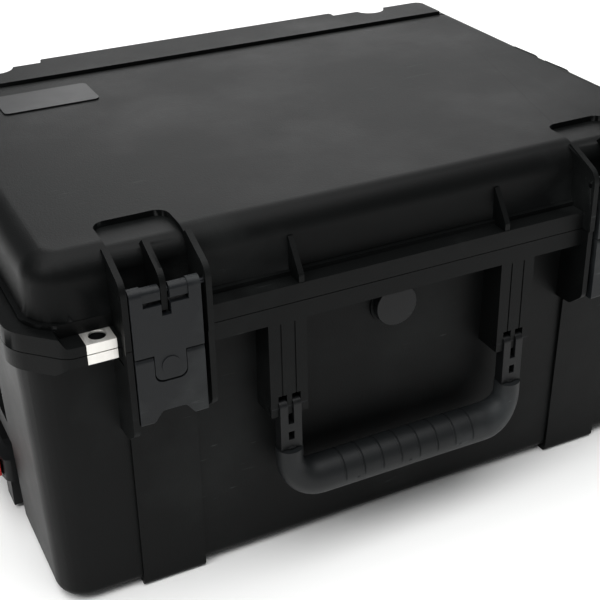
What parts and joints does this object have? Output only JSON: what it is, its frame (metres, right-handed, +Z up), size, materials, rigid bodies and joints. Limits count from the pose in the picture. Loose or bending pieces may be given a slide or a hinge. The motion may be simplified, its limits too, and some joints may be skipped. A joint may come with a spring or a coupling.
{
  "type": "wheeled transport case",
  "caption": "Black moulded transport case, closed and empty, with a hinged lid, two trigger latches, a fold-down carry handle, a pull-out handle and two wheels.",
  "frame": {"origin": "under the middle of the whole object, on the surface that the feet stand on", "axes": "+X along the case towards the wheels, +Y from the latches towards the lid hinge, +Z up"},
  "size_m": [0.585, 0.4464, 0.2985],
  "materials": {
    "case_plastic": "moulded, fine grain",
    "latch_plastic": "moulded, satin",
    "handle_plastic": "moulded, satin",
    "grip_rubber": "soft overmoulding",
    "seal_rubber": "soft",
    "valve_plastic": "moulded",
    "stainless": "brushed",
    "pin_steel": "ground",
    "tube_aluminium": "anodised",
    "frame_plastic": "moulded",
    "tab_plastic": "moulded red",
    "label": "printed film, left blank",
    "wheel_tyre": "solid",
    "wheel_hub": "moulded",
    "bush_plastic": "acetal"
  },
  "bodies": {
    "base": {"base_shell": "case_plastic", "base_lock_plate_left": "stainless", "base_lock_plate_right": "stainless", "valve_body": "valve_plastic", "valve_seal": "seal_rubber", "valve_cap": "valve_plastic", "valve_nut": "valve_plastic", "guide_tube_front": "tube_aluminium", "guide_tube_rear": "tube_aluminium", "saddle_left": "frame_plastic", "saddle_right": "frame_plastic", "saddle_screws": "pin_steel", "handle_pin_left": "pin_steel", "handle_pin_right": "pin_steel", "hinge_pin_left": "pin_steel", "hinge_pin_right": "pin_steel", "axle_front": "pin_steel", "axle_rear": "pin_steel", "axle_keepers": "frame_plastic"},
    "lid": {"lid_shell": "case_plastic", "lid_gasket": "seal_rubber", "label_plate": "label", "lid_lock_plate_left": "stainless", "lid_lock_plate_right": "stainless", "latch_pin_left": "pin_steel", "latch_pin_right": "pin_steel"},
    "carry_handle": {"handle_frame": "handle_plastic", "handle_grip": "grip_rubber"},
    "pull_handle": {"pull_grip": "frame_plastic", "pull_tube_front": "tube_aluminium", "pull_tube_rear": "tube_aluminium", "release_spring_front": "pin_steel", "release_spring_rear": "pin_steel"},
    "latch_left": {"latch_frame_left": "latch_plastic", "lever_spring_left": "pin_steel"},
    "lever_left": {"pull_lever_left": "latch_plastic", "lever_pin_left": "pin_steel"},
    "latch_right": {"latch_frame_right": "latch_plastic", "lever_spring_right": "pin_steel"},
    "lever_right": {"pull_lever_right": "latch_plastic", "lever_pin_right": "pin_steel"},
    "release_front": {"release_tab_front": "tab_plastic"},
    "wheel_front": {"tyre_front": "wheel_tyre", "hub_front": "wheel_hub", "bush_front": "bush_plastic"},
    "release_rear": {"release_tab_rear": "tab_plastic"},
    "wheel_rear": {"tyre_rear": "wheel_tyre", "hub_rear": "wheel_hub", "bush_rear": "bush_plastic"}
  },
  "joints": [
    {"name": "lid_hinge", "type": "hinge", "parent": "base", "child": "lid", "pos_m": [0, 0.21675, 0.2333], "axis": [-1, 0, 0], "range_deg": [0, 105]},
    {"name": "carry_handle_pivot", "type": "hinge", "parent": "base", "child": "carry_handle", "pos_m": [0, -0.20775, 0.148], "axis": [-1, 0, 0], "range_deg": [0, 90]},
    {"name": "pull_handle_slide", "type": "slide", "parent": "base", "child": "pull_handle", "axis": [-1, 0, 0], "range_m": [0, 0.36]},
    {"name": "latch_left_pivot", "type": "hinge", "parent": "lid", "child": "latch_left", "pos_m": [-0.1887, -0.21525, 0.271], "axis": [-1, 0, 0], "range_deg": [0, 110]},
    {"name": "lever_left_pivot", "type": "hinge", "parent": "latch_left", "child": "lever_left", "pos_m": [-0.1887, -0.21575, 0.2168], "axis": [-1, 0, 0], "range_deg": [0, 25], "stiffness_Nm_per_rad": 0.3},
    {"name": "latch_right_pivot", "type": "hinge", "parent": "lid", "child": "latch_right", "pos_m": [0.1887, -0.21525, 0.271], "axis": [-1, 0, 0], "range_deg": [0, 110]},
    {"name": "lever_right_pivot", "type": "hinge", "parent": "latch_right", "child": "lever_right", "pos_m": [0.1887, -0.21575, 0.2168], "axis": [-1, 0, 0], "range_deg": [0, 25], "stiffness_Nm_per_rad": 0.3},
    {"name": "release_front_push", "type": "slide", "parent": "pull_handle", "child": "release_front", "axis": [1, 0, 0], "range_m": [0, 0.003], "stiffness_N_per_m": 900, "deforming": ["release_spring_front"]},
    {"name": "release_rear_push", "type": "slide", "parent": "pull_handle", "child": "release_rear", "axis": [1, 0, 0], "range_m": [0, 0.003], "stiffness_N_per_m": 900, "deforming": ["release_spring_rear"]},
    {"name": "wheel_front_spin", "type": "hinge", "parent": "base", "child": "wheel_front", "pos_m": [0.2545, -0.13875, 0.04], "axis": [0, 1, 0], "continuous": true},
    {"name": "wheel_rear_spin", "type": "hinge", "parent": "base", "child": "wheel_rear", "pos_m": [0.2545, 0.13725, 0.04], "axis": [0, 1, 0], "continuous": true}
  ]
}
